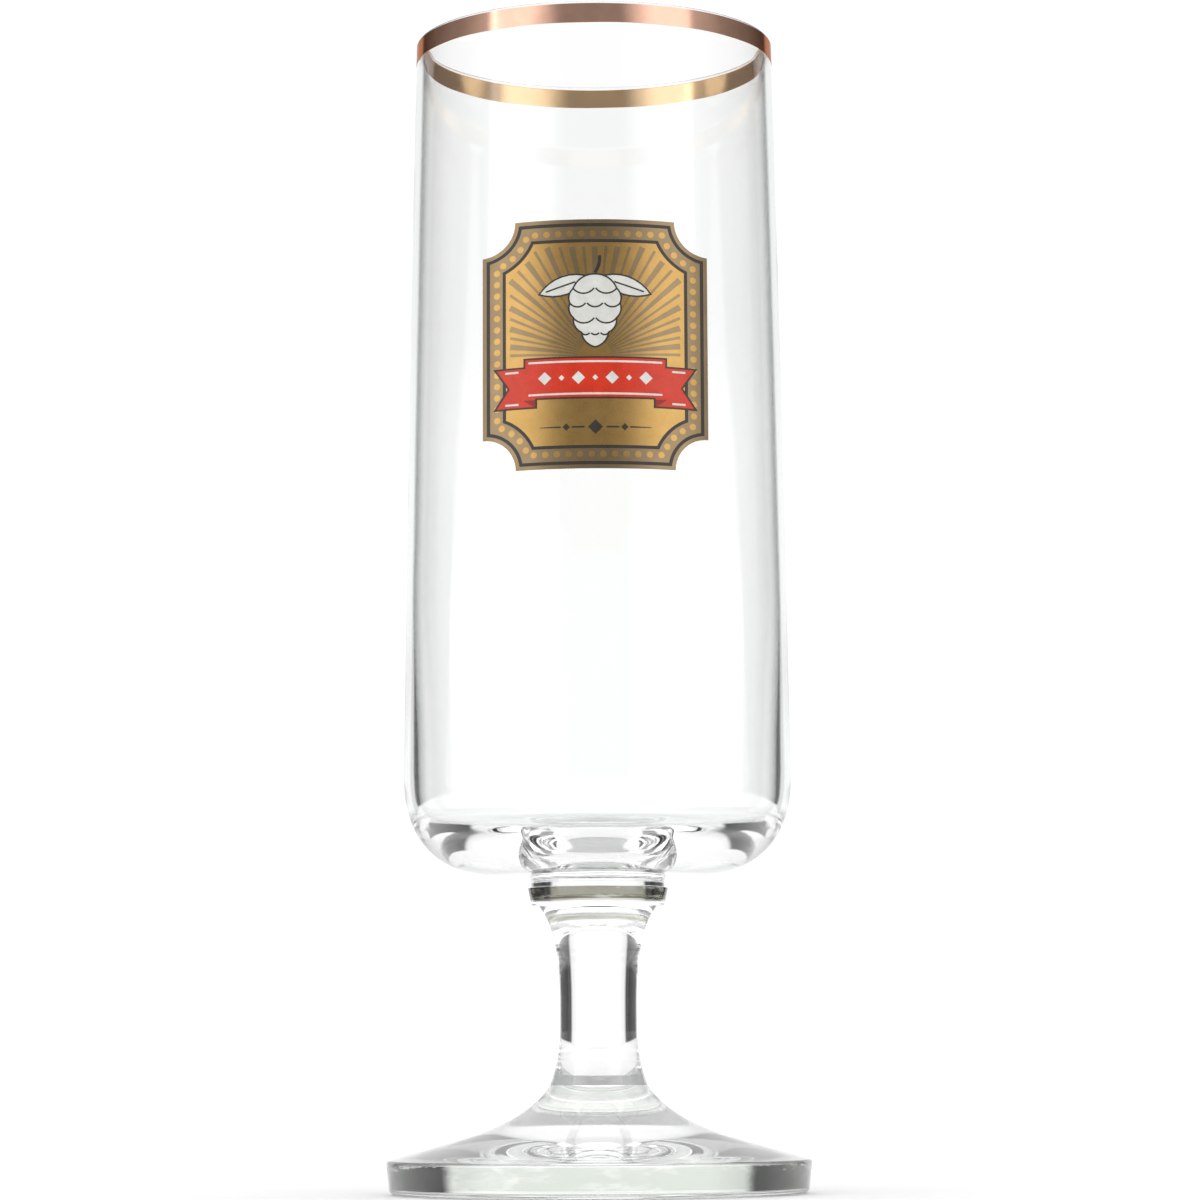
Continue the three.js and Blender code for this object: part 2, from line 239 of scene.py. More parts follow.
class GlassFinish(PropertyGroup):
    """Look of the clear glass"""

    tint: colour("Tint", "Colour of light that has passed the surface", (0.985, 0.993, 0.988))
    ior: factor("Index", "Refractive index", 1.52, 1, 2)
    waviness: length("Waviness", "Depth of the slow waves in the surface", 0.012)
    # Painted shade: the foot's rim side is greyed green by its skin, with pale streaks of painted light
    rim_shade_colour: colour("Rim tint", "Colour of the foot's pressed rim", (0.68, 0.73, 0.67))
    rim_light_streak_colour: colour("Rim pale", "Colour of the pale streaks in that rim", (0.93, 0.935, 0.91))
    # Painted shade: the glass greys where it is seen edge on
    edge_shade_colour: colour("Edge tint", "Colour of the glass seen edge on", (0.30, 0.35, 0.34))
    edge_start: factor("Edge start", "How far the glass turns away before it greys", 0.62)
    ripple: length("Ripple", "Depth of the ripples in the collar's pressed side", 0.05)
    # Painted shade: the collar's side is darkened to olive by its skin, with pale streaks that are painted
    # highlights
    collar_shade_colour: colour("Pressed tint", "Colour of the collar's pressed side", (0.11, 0.105, 0.07))
    collar_highlight_colour: colour("Pressed pale", "Colour of the pale streaks in that side", (0.60, 0.60, 0.52))


class BandFinish(PropertyGroup):
    """Look of the gold band"""

    outside: colour("Outside", "Gold lustre seen from outside", (0.85, 0.51, 0.38))
    inside: colour("Inside", "Gold lustre seen through the glass", (0.86, 0.57, 0.30))
    film: length("Film", "Thickness of the gold outside the glass", 0.04)
    edge_wave: length("Edge wave", "Unevenness of the hand-drawn lower edge", 0.05)


class BadgeDesign(PropertyGroup):
    """Sizes and colours of the badge"""

    scoop: length("Scoop", "Radius of the scooped corners", 5)
    line_inset: length("Line inset", "Bare edge outside the frame line", 0.6)
    line_width: length("Line width", "Width of the frame line", 0.5)
    border: length("Border", "Width of the border round the field", 3.3)
    fine_line: length("Fine line", "Width of the fine dark lines", 0.24)
    bead_radius: length("Bead radius", "Radius of a border bead", 0.5)
    bead_pitch: length("Bead pitch", "Distance between border beads", 1.75)
    ray_count: IntProperty(name="Rays", description="Number of rays behind the hop", default=31, min=3)
    ray_width: length("Ray width", "Width of a wide ray at its end", 0.9)
    ray_start: length("Ray start", "Where the rays start, from their origin", 2.5)
    ray_margin: length("Ray margin", "Bare edge between the rays and the field's edge", 0.9)
    ribbon_inset: length("Ribbon inset", "Plaque edge to the ribbon's ends", 1.6)
    ribbon_half_height: length("Ribbon half height", "Half the ribbon's height", 3.2)
    ribbon_drop: length("Ribbon drop", "Ribbon's middle below the badge's middle", 5.2)
    ribbon_tail: length("Ribbon tail", "Length of a tail beside the band", 4.6)
    tail_drop: length("Tail drop", "How far the tails hang below the band", 1.3)
    ribbon_fold: length("Ribbon fold", "How far a tail reaches behind the band", 2)
    ribbon_notch: length("Ribbon notch", "Depth of the notch in a tail", 2.2)
    stripe_inset: length("Stripe inset", "Ribbon edge to the pale stripe", 0.75)
    stripe_width: length("Stripe width", "Width of a pale stripe", 0.3)
    row_reach: length("Row reach", "Half the length of the ribbon's row of lozenges", 7.6)
    row_count: IntProperty(name="Row count", description="Lozenges in the ribbon's row", default=7, min=2)
    hop_half_width: length("Hop half width", "Half the hop cone's width", 3.9)
    hop_height: length("Hop height", "Height of the hop cone", 11.4)
    hop_above_ribbon: length("Hop above ribbon", "Gap between the ribbon and the cone's tip", 1.3)
    hop_scales: IntProperty(name="Hop scales", description="Rows of scales on the cone", default=5, min=2)
    hop_taper: factor("Hop taper", "How far up the cone is widest", 1.45, 0.5, 3)
    scale_bulge: factor("Scale bulge", "Swell of a scale at the cone's edge", 0.32)
    scale_line_bulge: factor("Scale line bulge", "Sag of the scale lines", 0.5)
    leaf_reach: length("Leaf reach", "Length of a leaf", 8.6)
    leaf_drop: length("Leaf drop", "How far a leaf's tip hangs", 2.6)
    leaf_root: length("Leaf root", "Leaf roots below the cone's top and beside its middle", 0.5)
    leaf_bulge: factor("Leaf bulge", "Swell of a leaf's edges", 0.36)
    rib_start: factor("Rib start", "Where a leaf's rib starts", 0.3)
    rib_end: factor("Rib end", "Where a leaf's rib ends", 0.85)
    stalk_width: length("Stalk width", "Width of the stalk", 0.48)
    stalk_height: length("Stalk height", "Height of the stalk", 2.6)
    stalk_lean: length("Stalk lean", "How far the stalk leans", 0.7)
    stalk_bulge: factor("Stalk bulge", "Bend of the stalk", 0.2)
    ornament_drop: length("Ornament drop", "Lozenges below the badge's middle", 12.7)
    ornament_pitch: length("Ornament pitch", "Distance between the lozenges", 4.4)
    ornament_end: length("Ornament end", "Where the outer lines end", 8.4)
    lozenge: length("Lozenge", "Half the size of the large lozenge", 1.1)
    film: length("Film", "Height of the first film above the glass", 0.02)
    layer: length("Layer", "Height that each further film adds", 0.015)
    bronze: colour("Bronze", "Bronze lustre", (0.33, 0.24, 0.14))
    gold: colour("Gold", "Bright gold lustre", (0.57, 0.35, 0.12))
    dark: colour("Dark", "Dark brown enamel", (0.035, 0.028, 0.022))
    red: colour("Red", "Red enamel", (0.66, 0.035, 0.010))
    deep_red: colour("Deep red", "Red enamel in the ribbon's folds", (0.30, 0.012, 0.006))
    white: colour("White", "White enamel", (0.74, 0.74, 0.70))


class StageSettings(PropertyGroup):
    """Floor, light and camera. The angles of the lights are counted from the front"""

    floor_radius: length("Floor radius", "Radius of the round table top", 160)
    floor_colour: colour("Floor colour", "Colour of the floor", (0.89, 0.89, 0.89))
    left_near: angle("Left softbox near", "Where the left softbox starts", 32)
    left_far: angle("Left softbox far", "Where the left softbox ends", 67)
    right_near: angle("Right softbox near", "Where the right softbox starts", 28)
    right_far: angle("Right softbox far", "Where the right softbox ends", 62)
    box_fade: angle("Softbox fade", "Width of the fade at a softbox's near edge", 20)
    tube_width: angle("Tube width", "Width of the lamp tube at a softbox's far edge", 3)
    left_gap: angle("Left gap", "Where the dark gap on the left starts", 93)
    left_back: angle("Left backdrop", "Where the backdrop starts on the left", 147)
    right_gap: angle("Right gap", "Where the dark gap on the right starts", 90)
    right_back: angle("Right backdrop", "Where the backdrop starts on the right", 147)
    edge: angle("Light edge", "Width of the soft edge between lights", 1.5)
    backdrop_fade: angle("Backdrop fade", "Width of the fade at the backdrop's edge", 12)
    window_radius: angle("Window radius", "Radius of the pale window on each side", 10.5)
    dark_top: angle("Dark top", "Height up to which the gaps between the lights stay dark", 28)
    dark_base: angle("Dark base", "How far the gaps reach below the table's height", 6)
    ceiling_base: angle("Ceiling base", "Height at which the even ceiling starts", 44)
    top_radius: angle("Top radius", "Radius of the overhead light", 28)
    top_edge: angle("Top edge", "Width of the soft edge of the overhead light", 6)
    backdrop_level: brightness("Backdrop level", "Brightness of the backdrop", 1.14)
    backdrop_edge: factor("Backdrop edge", "Share of that brightness at the backdrop's edge", 0.8)
    window_level: brightness("Window level", "Brightness of the side windows", 1.02)
    box_level: brightness("Softbox level", "Brightness of the softboxes", 1.5)
    tube_level: brightness("Tube level", "Brightness of the lamp tubes", 2.2)
    wall_level: brightness("Wall level", "Brightness beside a softbox", 0.6)
    gap_level: brightness("Gap level", "Brightness where a dark gap starts", 0.2)
    dark_level: brightness("Dark level", "Brightness between the lights", 0.02)
    high_start: angle("High start", "Height at which the upper levels start", 8.5)
    high_end: angle("High end", "Height at which the upper levels are reached", 11)
    high_gap_level: brightness("High gap level", "Brightness where a dark gap starts, higher up", 0.3)
    high_dark_level: brightness("High dark level", "Brightness between the lights, higher up", 0.1)
    high_backdrop_level: brightness("High backdrop level", "Brightness of the backdrop, higher up", 1.06)
    front_level: brightness("Front level", "Brightness behind the camera", 0.31)
    ceiling_level: brightness("Ceiling level", "Brightness above the lights", 0.85)
    top_level: brightness("Top level", "Brightness of the overhead light", 2.5)
    camera_distance: length("Camera distance", "Camera to the glass's axis", 631.46)
    camera_side: length("Camera side", "Camera to the right of the axis", 0.54)
    camera_height: length("Camera height", "Camera above the table", 17.38)
    camera_pitch: angle("Camera pitch", "How far the camera looks up", 6.708)
    camera_roll: angle("Camera roll", "How far the camera leans", -0.28)
    camera_lens: FloatProperty(
        name="Lens", description="Focal length on a 36 mm sensor", default=122.28, unit="CAMERA",
    )


class FootedGlassSettings(PropertyGroup):
    """All that can be changed on the footed glass"""

    foot: PointerProperty(type=FootShape)
    stem: PointerProperty(type=StemShape)
    collar: PointerProperty(type=CollarShape)
    bowl: PointerProperty(type=BowlShape)
    glass: PointerProperty(type=GlassFinish)
    band: PointerProperty(type=BandFinish)
    badge: PointerProperty(type=BadgeDesign)
    stage: PointerProperty(type=StageSettings)


# Profiles, as points of radius and height

def bend(start, corner, end, steps=ROUND_STEPS):
    """Points of a curve that leaves start and reaches end along the lines through corner."""
    a, c, b = Vector((*start, 0)), Vector((*corner, 0)), Vector((*end, 0))
    points = interpolate_bezier(a, a.lerp(c, 2 / 3), b.lerp(c, 2 / 3), b, steps + 1)
    return [p.xy for p in points]


def sweep(start, first, second, end, steps=CURVE_STEPS):
    """Points of a cubic curve with two pulls."""
    points = interpolate_bezier(*[Vector((*p, 0)) for p in (start, first, second, end)], steps + 1)
    return [p.xy for p in points]


def base_corner(centre, reach, drop, power, belly):
    """A quarter of a superellipse, from its lowest point out and up to the belly."""
    points = []
    for i in range(CORNER_STEPS + 1):
        turn = pi / 2 * i / CORNER_STEPS
        points.append(Vector((
            centre + reach * max(sin(turn), 0) ** (2 / power),
            belly - drop * max(cos(turn), 0) ** (2 / power),
        )))
    return points


def even_steps(low, high, count):
    """Levels from low to high at even steps, both ends among them."""
    return [low + (high - low) * i / count for i in range(count + 1)]


def belly_level(shape):
    """Height at which the base corner passes into the wall."""
    return BOSS_BASE + shape.boss_height + shape.corner_height


def wall_radius(shape, level):
    """The bowl's outer radius above the belly: a taper with a slight swell."""
    belly = belly_level(shape)
    share = (level - belly) / (LIP_TOP - belly)
    taper = BELLY_RADIUS + (shape.rim_radius - BELLY_RADIUS) * share
    return taper + 4 * shape.wall_bulge * share * (1 - share)


def wall_thickness(shape, level):
    """The bowl's wall above the belly: even at the top, and thicker towards the base."""
    rise = min((level - belly_level(shape)) / shape.wall_swell, 1)
    ease = rise * rise * (3 - 2 * rise)
    return shape.belly_wall + (shape.lip_wall - shape.belly_wall) * ease


def inside_radius(shape, level):
    """The bowl's inner radius above the inside's corner."""
    return wall_radius(shape, level) - wall_thickness(shape, level)


# Making of meshes and pieces

def spun(profile, closed=False):
    """A bmesh of revolution about Z from a profile."""
    bm = bmesh.new()
    verts = [bm.verts.new((p[0], 0, p[1])) for p in profile]
    edges = [bm.edges.new(pair) for pair in zip(verts, verts[1:])]
    if closed:
        edges.append(bm.edges.new((verts[-1], verts[0])))
    bmesh.ops.spin(
        bm, geom=verts + edges, cent=(0, 0, 0), axis=(0, 0, 1), angle=tau, steps=SPIN_STEPS, use_merge=True,
    )
    bmesh.ops.remove_doubles(bm, verts=bm.verts, dist=MERGE)
    bmesh.ops.recalc_face_normals(bm, faces=bm.faces)
    return bm


def mesh_object(bm, name, materials):
    """Turns a bmesh into an object of the scene."""
    mesh = bpy.data.meshes.new(name)
    bm.to_mesh(mesh)
    bm.free()
    for material in materials:
        mesh.materials.append(material)
    piece = bpy.data.objects.new(name, mesh)
    bpy.context.scene.collection.objects.link(piece)
    return piece


def finish_piece(bm, name, materials, node=None):
    """Turns a bmesh into a piece that rides on the glass and may stand for a CAD node."""
    for face in bm.faces:
        face.smooth = True
    for edge in bm.edges:
        edge.smooth = edge.calc_face_angle(0) < SHARP
    piece = mesh_object(bm, name, materials)
    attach(piece, BODY)
    if node:
        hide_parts(node)


def glass_piece(profile, name, node, seams, skin=None, skin_levels=(0, 0)):
    """A turned clear member. A seam is a level and a radius inside which the glass is fused.
    A skin is a material of painted shade that the side has between two levels."""
    bm = spun(profile)
    finish = bpy.context.scene.footed_glass.glass
    materials = [made_once("fire_polished_glass", clear_glass, finish), made_once("fused_seam", fused_seam)]
    if skin:
        materials.append(skin)
    for face in bm.faces:
        middle = face.calc_center_median()
        for level, radius in seams:
            if abs(middle.z - level) < MERGE and middle.xy.length < radius:
                face.material_index = 1
        if skin_levels[0] < middle.z < skin_levels[1]:
            face.material_index = 2
    finish_piece(bm, name, materials, node)


# Materials

def made_once(name, make, *values):
    """The material of a given name, made when it is first asked for."""
    if name not in bpy.data.materials:
        material = bpy.data.materials.new(name)
        material.use_nodes = True
        tree = material.node_tree
        make(tree, tree.nodes["Principled BSDF"].inputs, *values)
    return bpy.data.materials[name]


def add_node(tree, kind, inputs=None, **values):
    """A node with its settings, and inputs given by socket name or number."""
    node = tree.nodes.new(kind)
    for key, value in values.items():
        setattr(node, key, value)
    for key, value in (inputs or {}).items():
        if isinstance(value, bpy.types.NodeSocket):
            tree.links.new(value, node.inputs[key])
        else:
            node.inputs[key].default_value = value
    return node


def noise(tree, grain):
    """Noise on Object coordinates, as a value."""
    scale, detail, stretch = grain
    coords = add_node(tree, "ShaderNodeTexCoord").outputs["Object"]
    mapped = add_node(tree, "ShaderNodeMapping", {"Vector": coords, "Scale": stretch}).outputs[0]
    node = add_node(tree, "ShaderNodeTexNoise", {"Vector": mapped, "Scale": scale, "Detail": detail})
    return node.outputs[0]


def span(tree, value, low, high, start=0, end=1, ease="LINEAR"):
    """Maps the range from low to high onto the range from start to end."""
    node = add_node(
        tree, "ShaderNodeMapRange",
        {"Value": value, "From Min": low, "From Max": high, "To Min": start, "To Max": end},
        interpolation_type=ease,
    )
    return node.outputs[0]


def smooth_step(tree, value, low, high):
    """A smooth step from 0 at low to 1 at high."""
    return span(tree, value, low, high, ease="SMOOTHSTEP")


def cloud(tree, grain, low=0, high=1):
    """The middle of a noise, mapped to a range."""
    return span(tree, noise(tree, grain), *NOISE_MIDDLE, low, high)


def blend_colours(tree, share, first, second):
    """A colour between two. Sockets 6 and 7 of a Mix node take colours, and its output 2 gives one."""
    node = add_node(tree, "ShaderNodeMix", {0: share, 6: first, 7: second}, data_type="RGBA")
    return node.outputs[2]


def shade(tint, level=1):
    """A colour made lighter or darker, with alpha."""
    return (*[min(c * level, 1) for c in tint], 1)


def mottled(tree, grain, tint, shades):
    """A tint that wanders between two shades."""
    return blend_colours(tree, cloud(tree, grain), *[shade(tint, level) for level in shades])


def coat(tree, sockets, tint, roughness, grain, depth, strength=1):
    """Gives the shader a colour, a roughness and a fine relief."""
    relief = add_node(
        tree, "ShaderNodeBump", {"Height": noise(tree, grain), "Strength": strength, "Distance": depth},
    ).outputs[0]
    for name, value in (("Base Color", tint), ("Roughness", roughness), ("Normal", relief)):
        tree.links.new(value, sockets[name])


def see_through(sockets, finish):
    """Makes the shader clear."""
    sockets["IOR"].default_value = finish.ior
    sockets["Transmission Weight"].default_value = 1


def clear_glass(tree, sockets, finish):
    """Fire-polished clear glass with slow waves and painted shade: it greys where it is seen edge on."""
    # Painted shade: grey where the surface is seen edge on, standing in for the dark edges that refraction
    # gives
    facing = add_node(tree, "ShaderNodeLayerWeight").outputs["Facing"]
    edge = smooth_step(tree, facing, finish.edge_start, 1)
    tint = blend_colours(tree, edge, shade(finish.tint), shade(finish.edge_shade_colour))
    see_through(sockets, finish)
    coat(tree, sockets, tint, cloud(tree, GLASS_CLOUD, *GLASS_ROUGHNESS), GLASS_WAVES, finish.waviness)


def shaded_skin_glass(tree, sockets, finish, tint, light_streak_tint):
    """A side darkened by a tinted skin of painted shade, with pale streaks of painted light in it."""
    # Mask of the pale streaks of painted light in the painted shade
    streaks = span(tree, noise(tree, PAINTED_LIGHT_STREAKS), *STREAK_EDGES)
    streaked = blend_colours(tree, streaks, shade(tint), shade(light_streak_tint))
    see_through(sockets, finish)
    coat(tree, sockets, streaked, cloud(tree, PRESS_CLOUD, *PRESS_ROUGHNESS), PRESS_RIPPLE, finish.ripple)


def fused_seam(tree, sockets):
    """Where two glass members are fused, light passes straight on."""
    sockets["Alpha"].default_value = 0


def lustre(tree, sockets, tint, roughness, stretch=EVEN):
    """A fired metal film: mottled colour, uneven gloss and a fine brushed grain."""
    sockets["Metallic"].default_value = 1
    sockets["Specular Tint"].default_value = shade(tint, LUSTRE_EDGE)
    coat(
        tree, sockets, mottled(tree, LUSTRE_MOTTLE, tint, LUSTRE_SHADES),
        cloud(tree, (*LUSTRE_CLOUD, stretch), *roughness),
        (*LUSTRE_BRUSH, stretch), FILM_RELIEF, BRUSH_STRENGTH,
    )


def enamel(tree, sockets, tint, roughness):
    """A fired enamel film: slight mottling, an even gloss and a fine orange peel."""
    coat(
        tree, sockets, mottled(tree, ENAMEL_MOTTLE, tint, ENAMEL_SHADES),
        cloud(tree, ENAMEL_CLOUD, *roughness), ENAMEL_PEEL, FILM_RELIEF, PEEL_STRENGTH,
    )


# Finishes of the badge: shader, roughness and the record's slot
FILMS = {
    "bronze": (lustre, (0.31, 0.35), "bronze_lustre"),
    "gold": (lustre, (0.26, 0.30), "bright_gold"),
    "dark": (enamel, (0.28, 0.40), "dark_enamel"),
    "red": (enamel, (0.22, 0.34), "red_enamel"),
    "deep_red": (enamel, (0.22, 0.34), "red_enamel"),
    "white": (enamel, (0.25, 0.38), "white_enamel"),
}


# Clear members

class FOOTED_GLASS_OT_foot(Operator):
    """Make the pressed foot with its upright rim and the hollow underneath"""

    bl_idname = "footed_glass.foot"
    bl_label = "Foot"

    def execute(self, context):
        shape = context.scene.footed_glass.foot
        seam = context.scene.footed_glass.stem.seam_radius
        hollow = shape.hollow_depth
        rim_side = shape.rim_height - shape.top_round
        rim_base = FOOT_RADIUS - shape.rim_draft
        ring_outer = rim_base - shape.base_round
        ring_inner = ring_outer - shape.ring_width
        start = Vector((FOOT_RADIUS - shape.top_round, shape.rim_height))
        end = Vector((seam, STEM_BASE))
        first = start + shape.rim_pull * Vector((-cos(shape.rim_slope), sin(shape.rim_slope)))
        second = end + shape.seam_pull * Vector((cos(shape.seam_slope), -sin(shape.seam_slope)))
        profile = [
            *bend((0, hollow), (ring_inner / 2, hollow), (ring_inner, 0), CURVE_STEPS),
            *bend((ring_outer, 0), (rim_base, 0), (rim_base, shape.base_round)),
            *bend((FOOT_RADIUS, rim_side), (FOOT_RADIUS, shape.rim_height), start),
            *sweep(start, first, second, end)[1:],
            (0, STEM_BASE),
        ]
        finish = context.scene.footed_glass.glass
        # The rim's side gets a skin of grey-green painted shade with pale streaks of painted light
        skin = made_once("pressed_rim_glass", shaded_skin_glass, finish, finish.rim_shade_colour, finish.rim_light_streak_colour)
        levels = (hollow, rim_side)
        glass_piece(profile, "foot_glass", "foot", [(STEM_BASE, seam)], skin, levels)
        return {"FINISHED"}


class FOOTED_GLASS_OT_stem(Operator):
    """Make the solid waisted stem"""

    bl_idname = "footed_glass.stem"
    bl_label = "Stem"

    def execute(self, context):
        shape = context.scene.footed_glass.stem
        waist = shape.waist_radius
        waist_base = STEM_BASE + shape.lower_flare
        waist_top = waist_base + shape.waist_length
        profile = [
            (0, STEM_BASE),
            *bend((shape.seam_radius, STEM_BASE), (waist, STEM_BASE + shape.lower_bend),
                  (waist, waist_base), CURVE_STEPS),
            *bend((waist, waist_top), (waist, COLLAR_BASE - shape.upper_bend),
                  (STEM_HEAD_RADIUS, COLLAR_BASE), CURVE_STEPS),
            (0, COLLAR_BASE),
        ]
        seams = [(STEM_BASE, shape.seam_radius), (COLLAR_BASE, STEM_HEAD_RADIUS)]
        glass_piece(profile, "stem_glass", "stem", seams)
        return {"FINISHED"}


class FOOTED_GLASS_OT_collar(Operator):
    """Make the collar disc between the stem and the bowl"""

    bl_idname = "footed_glass.collar"
    bl_label = "Collar"

    def execute(self, context):
        shape = context.scene.footed_glass.collar
        boss = COLLAR_RADIUS - context.scene.footed_glass.bowl.boss_step
        side = COLLAR_RADIUS - shape.draft
        edge = shape.top_edge
        profile = [
            (0, COLLAR_BASE),
            (STEM_HEAD_RADIUS, COLLAR_BASE),
            *bend((side - shape.round, COLLAR_BASE), (side, COLLAR_BASE), (side, COLLAR_BASE + shape.round)),
            *bend((COLLAR_RADIUS, BOSS_BASE - edge), (COLLAR_RADIUS, BOSS_BASE),
                  (COLLAR_RADIUS - edge, BOSS_BASE)),
            (boss, BOSS_BASE),
            (0, BOSS_BASE),
        ]
        seams = [(COLLAR_BASE, STEM_HEAD_RADIUS), (BOSS_BASE, boss)]
        finish = context.scene.footed_glass.glass
        # The collar's side gets a skin of dark olive painted shade with pale streaks that are painted
        # highlights
        skin = made_once(
            "pressed_collar_glass", shaded_skin_glass, finish, finish.collar_shade_colour, finish.collar_highlight_colour,
        )
        levels = (COLLAR_BASE + shape.round, BOSS_BASE - edge)
        glass_piece(profile, "collar_glass", "collar", seams, skin, levels)
        return {"FINISHED"}


class FOOTED_GLASS_OT_bowl(Operator):
    """Make the blown bowl with its thick base and rounded lip"""

    bl_idname = "footed_glass.bowl"
    bl_label = "Bowl"

    def execute(self, context):
        shape = context.scene.footed_glass.bowl
        boss = COLLAR_RADIUS - shape.boss_step
        base = BOSS_BASE + shape.boss_height
        foot_of_corner = boss + shape.boss_fillet + shape.base_flat
        belly = belly_level(shape)
        floor = base + shape.base_thickness
        outer_corner = base_corner(
            foot_of_corner, BELLY_RADIUS - foot_of_corner, shape.corner_height, shape.corner_power, belly,
        )
        inside_belly = belly + shape.inside_rise
        inner_corner = base_corner(
            shape.inside_flat, inside_radius(shape, inside_belly) - shape.inside_flat, inside_belly - floor,
            shape.inside_power, inside_belly,
        )
        lip_round = shape.lip_wall / 2
        lip_level = LIP_TOP - lip_round
        outer_levels, inner_levels = [
            even_steps(start, lip_level, WALL_STEPS)[1:] for start in (belly, inside_belly)
        ]
        outer_wall = [(wall_radius(shape, z), z) for z in outer_levels]
        inner_wall = [(inside_radius(shape, z), z) for z in inner_levels]
        lip_middle = (outer_wall[-1][0] + inner_wall[-1][0]) / 2
        lip = [
            (lip_middle + lip_round * cos(turn), lip_level + lip_round * sin(turn))
            for turn in even_steps(0, pi, ROUND_STEPS)[1:-1]
        ]
        profile = [
            (0, BOSS_BASE),
            (boss, BOSS_BASE),
            *bend((boss, base - shape.boss_fillet), (boss, base), (boss + shape.boss_fillet, base)),
            *outer_corner,
            *outer_wall,
            *lip,
            *reversed(inner_wall),
            *reversed(inner_corner),
            (0, floor),
        ]
        glass_piece(profile, "bowl_glass", "bowl", [(BOSS_BASE, boss)])
        return {"FINISHED"}


class FOOTED_GLASS_OT_lip_band(Operator):
    """Make the gold band fired round the outside of the lip"""

    bl_idname = "footed_glass.lip_band"
    bl_label = "Lip band"

    def execute(self, context):
        settings = context.scene.footed_glass
        finish = settings.band
        shape = settings.bowl
        levels = even_steps(BAND_LOW.z, BAND_HIGH.z, ROUND_STEPS)
        outside = [(wall_radius(shape, z) + finish.film, z) for z in levels]
        inside = [(wall_radius(shape, z) - finish.film / 2, z) for z in levels]
        bm = spun([*outside, *reversed(inside)], closed=True)
        for face in bm.faces:
            if face.normal.xy.dot(face.calc_center_median().xy) < 0:
                face.material_index = 1
        for vert in bm.verts:
            if vert.co.z < levels[1]:
                turn = atan2(vert.co.y, vert.co.x)
                waves = sum(sin(count * turn + lead) for count, lead in EDGE_WAVES)
                vert.co.z += finish.edge_wave * waves / len(EDGE_WAVES)
        materials = [
            made_once("gold_lustre_outside", lustre, finish.outside, OUTSIDE_ROUGHNESS, AROUND),
            made_once("gold_lustre_inside", lustre, finish.inside, INSIDE_ROUGHNESS, AROUND),
        ]
        finish_piece(bm, "lip_band_gold", materials, "lip_gold_band")
        return {"FINISHED"}


# Badge films: a drawing in the XZ plane, seen from the front, that is thickened and laid on the bowl

def at(x, z):
    """A point of the drawing, measured from the badge's middle."""
    return Vector((x, 0, z))


def arc_turn(start, end, bulge):
    """Centre and angle of an arc. The bulge is the tangent of a quarter of the angle."""
    chord = end - start
    turn = 4 * atan(bulge)
    return (start + end) / 2 + at(-chord.z, chord.x) / (2 * tan(turn / 2)), turn


def pen_line(bm, start, end, bulge):
    """A chain of edges from one point to another."""
    first = bm.verts.new(start)
    if bulge:
        centre, turn = arc_turn(start, end, bulge)
        bmesh.ops.spin(bm, geom=[first], cent=centre, axis=FRONT, angle=turn, steps=ARC_STEPS)
    else:
        last = bmesh.ops.extrude_vert_indiv(bm, verts=[first])["verts"]
        bmesh.ops.translate(bm, verts=last, vec=end - start)


def pen_stroke(bm, start, end, width, bulge=0, end_width=None):
    """A drawn line of a given width, straight or as an arc."""
    if bulge:
        centre, turn = arc_turn(start, end, bulge)
        across = (start - centre).normalized() * width / 2
    else:
        along = (end - start).normalized()
        across = at(-along.z, along.x) * width / 2
    tips = [bm.verts.new(start + across), bm.verts.new(start - across)]
    nib = bm.edges.new(tips)
    if bulge:
        bmesh.ops.spin(bm, geom=[*tips, nib], cent=centre, axis=FRONT, angle=turn, steps=ARC_STEPS)
        return
    moved = bmesh.ops.extrude_edge_only(bm, edges=[nib])["geom"]
    ends = [item for item in moved if isinstance(item, bmesh.types.BMVert)]
    bmesh.ops.translate(bm, verts=ends, vec=end - start)
    if end_width is not None:
        ratio = end_width / width
        bmesh.ops.scale(bm, verts=ends, vec=(ratio, 1, ratio), space=Matrix.Translation(-end))


def pen_shape(bm, start, moves):
    """A filled shape. Each move is a point and a bulge, and the last one comes back to the start."""
    old = {*bm.verts, *bm.edges}
    for end, bulge in moves:
        pen_line(bm, start, end, bulge)
        start = end
    bmesh.ops.remove_doubles(bm, verts=[vert for vert in bm.verts if vert not in old], dist=PEN_JOIN)
    edges = [edge for edge in bm.edges if edge not in old]
    bmesh.ops.contextual_create(bm, geom=edges)


def corner_shape(bm, points):
    """A filled shape with straight sides."""
    pen_shape(bm, points[0], [(point, 0) for point in [*points[1:], points[0]]])


def mirrored(points):
    """Points of a right half followed by those of its left half."""
    return points + [at(-point.x, point.z) for point in reversed(points)]


def plaque_edges(bm, badge, inset):
    """The plaque's outline moved in from its edge. The scooped corners keep their centres."""
    scoop = badge.scoop + inset
    skew = asin(inset / scoop)
    old = set(bm.edges)
    ends = []
    for quarter, (sx, sz) in enumerate(((1, 1), (1, -1), (-1, -1), (-1, 1))):
        centre = at(sx * BADGE_HALF_WIDTH, sz * BADGE_HALF_HEIGHT)
        turn = pi - quarter * pi / 2 + skew
        first = bm.verts.new(centre + scoop * at(cos(turn), sin(turn)))
        arc = bmesh.ops.spin(
            bm, geom=[first], cent=centre, axis=FRONT, angle=pi / 2 - 2 * skew, steps=SCOOP_STEPS,
        )
        ends.append((first, arc["geom_last"][0]))
    for (_, last), (first, _) in zip(ends, ends[1:] + ends[:1]):
        bm.edges.new((last, first))
    return [edge for edge in bm.edges if edge not in old]


def plaque_face(bm, badge, inset=0):
    """The plaque's filled outline, moved in from its edge."""
    return bmesh.ops.contextual_create(bm, geom=plaque_edges(bm, badge, inset))["faces"][0]


